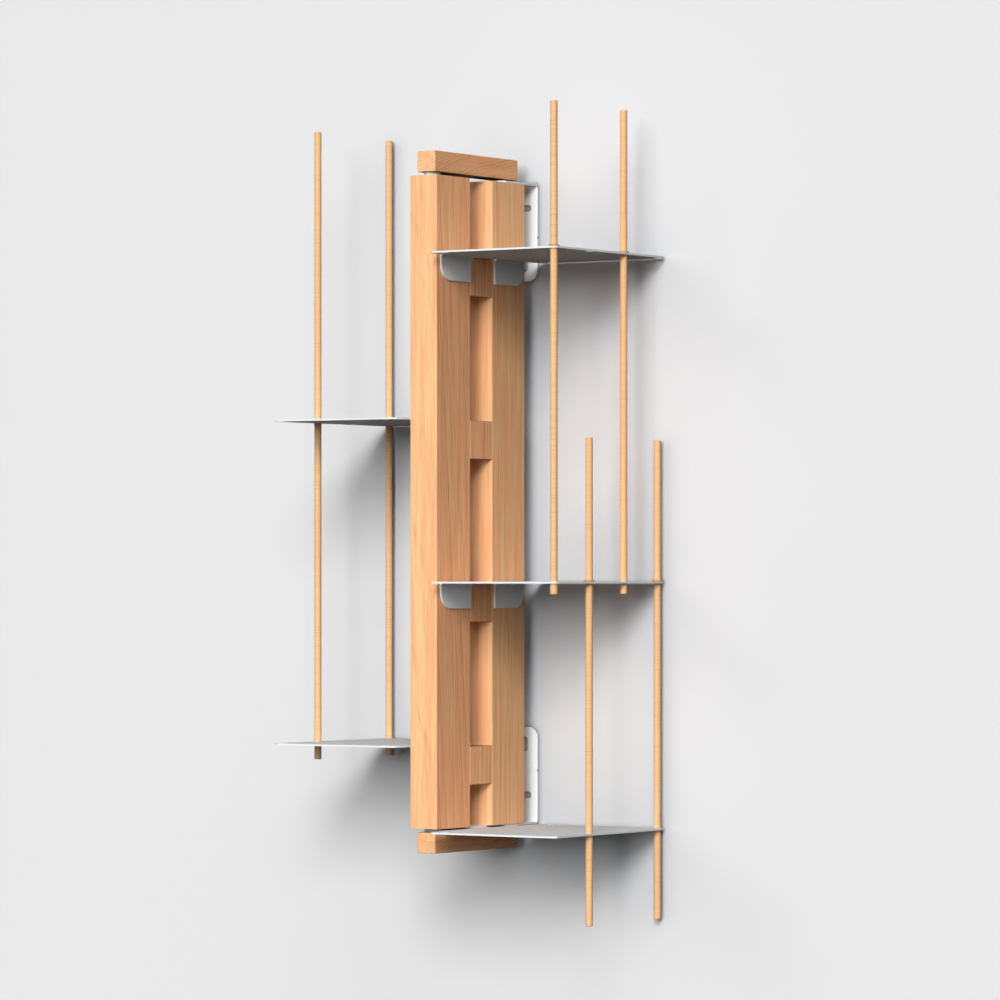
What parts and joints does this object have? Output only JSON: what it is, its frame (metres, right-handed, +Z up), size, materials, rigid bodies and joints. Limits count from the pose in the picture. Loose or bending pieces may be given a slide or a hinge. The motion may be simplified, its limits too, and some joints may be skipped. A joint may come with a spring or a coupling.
{
  "type": "wall bookcase",
  "caption": "Narrow wall bookcase: twin-upright wooden column on slotted wall brackets, bent sheet steel shelves hooked on either side, loose dowel rods as book stops.",
  "frame": {"origin": "on the wall plane, midway between the two wall screw slots, on the column's centre line", "axes": "+Z up, +Y from the front of the bookcase into the wall, +X to the right along the wall"},
  "size_m": [0.3766, 0.2246, 0.89],
  "materials": {
    "column_wood": "planed, clear matt lacquer",
    "block_wood": "planed, clear matt lacquer",
    "cap_wood": "planed, clear matt lacquer",
    "rod_wood": "turned and sanded, clear matt lacquer",
    "coated_steel": "pale satin powder coat",
    "ring_rubber": "smooth tan rubber",
    "screw_steel": "zinc plated"
  },
  "bodies": {
    "column": {"front_upright": "column_wood", "back_upright": "column_wood", "spacer_block_1": "block_wood", "spacer_block_2": "block_wood", "spacer_block_3": "block_wood", "spacer_block_4": "block_wood", "block_dowels": "rod_wood", "top_wall_bracket": "coated_steel", "bottom_wall_bracket": "coated_steel", "top_front_spacer": "coated_steel", "top_rear_spacer": "coated_steel", "top_cap": "cap_wood", "bottom_cap": "cap_wood", "top_cap_screws": "screw_steel", "bottom_cap_screws": "screw_steel", "shelf_right_bottom": "coated_steel"},
    "right_upper_shelf": {"shelf_right_upper": "coated_steel"},
    "left_upper_shelf": {"shelf_left_upper": "coated_steel"},
    "right_middle_shelf": {"shelf_right_middle": "coated_steel"},
    "left_lower_shelf": {"shelf_left_lower": "coated_steel"},
    "right_upper_front_rod": {"rod_right_upper_front": "rod_wood", "ring_right_upper_front": "ring_rubber"},
    "right_upper_rear_rod": {"rod_right_upper_rear": "rod_wood", "ring_right_upper_rear": "ring_rubber"},
    "right_lower_front_rod": {"rod_right_lower_front": "rod_wood", "ring_right_lower_front": "ring_rubber"},
    "right_lower_rear_rod": {"rod_right_lower_rear": "rod_wood", "ring_right_lower_rear": "ring_rubber"},
    "left_front_rod": {"rod_left_front": "rod_wood", "ring_left_front": "ring_rubber"},
    "left_rear_rod": {"rod_left_rear": "rod_wood", "ring_left_rear": "ring_rubber"}
  },
  "joints": [
    {"name": "right_upper_shelf_lift", "type": "slide", "parent": "column", "child": "right_upper_shelf", "axis": [0, 0, 1], "range_m": [0, 0.0075]},
    {"name": "left_upper_shelf_lift", "type": "slide", "parent": "column", "child": "left_upper_shelf", "axis": [0, 0, 1], "range_m": [0, 0.0075]},
    {"name": "right_middle_shelf_lift", "type": "slide", "parent": "column", "child": "right_middle_shelf", "axis": [0, 0, 1], "range_m": [0, 0.0075]},
    {"name": "left_lower_shelf_lift", "type": "slide", "parent": "column", "child": "left_lower_shelf", "axis": [0, 0, 1], "range_m": [0, 0.0075]},
    {"name": "right_upper_front_rod_lift", "type": "slide", "parent": "right_upper_shelf", "child": "right_upper_front_rod", "axis": [0, 0, 1], "range_m": [0, 0.36]},
    {"name": "right_upper_rear_rod_lift", "type": "slide", "parent": "right_upper_shelf", "child": "right_upper_rear_rod", "axis": [0, 0, 1], "range_m": [0, 0.36]},
    {"name": "right_lower_front_rod_lift", "type": "slide", "parent": "right_middle_shelf", "child": "right_lower_front_rod", "axis": [0, 0, 1], "range_m": [0, 0.345]},
    {"name": "right_lower_rear_rod_lift", "type": "slide", "parent": "right_middle_shelf", "child": "right_lower_rear_rod", "axis": [0, 0, 1], "range_m": [0, 0.345]},
    {"name": "left_front_rod_lift", "type": "slide", "parent": "left_upper_shelf", "child": "left_front_rod", "axis": [0, 0, 1], "range_m": [0, 0.37]},
    {"name": "left_rear_rod_lift", "type": "slide", "parent": "left_upper_shelf", "child": "left_rear_rod", "axis": [0, 0, 1], "range_m": [0, 0.37]}
  ]
}
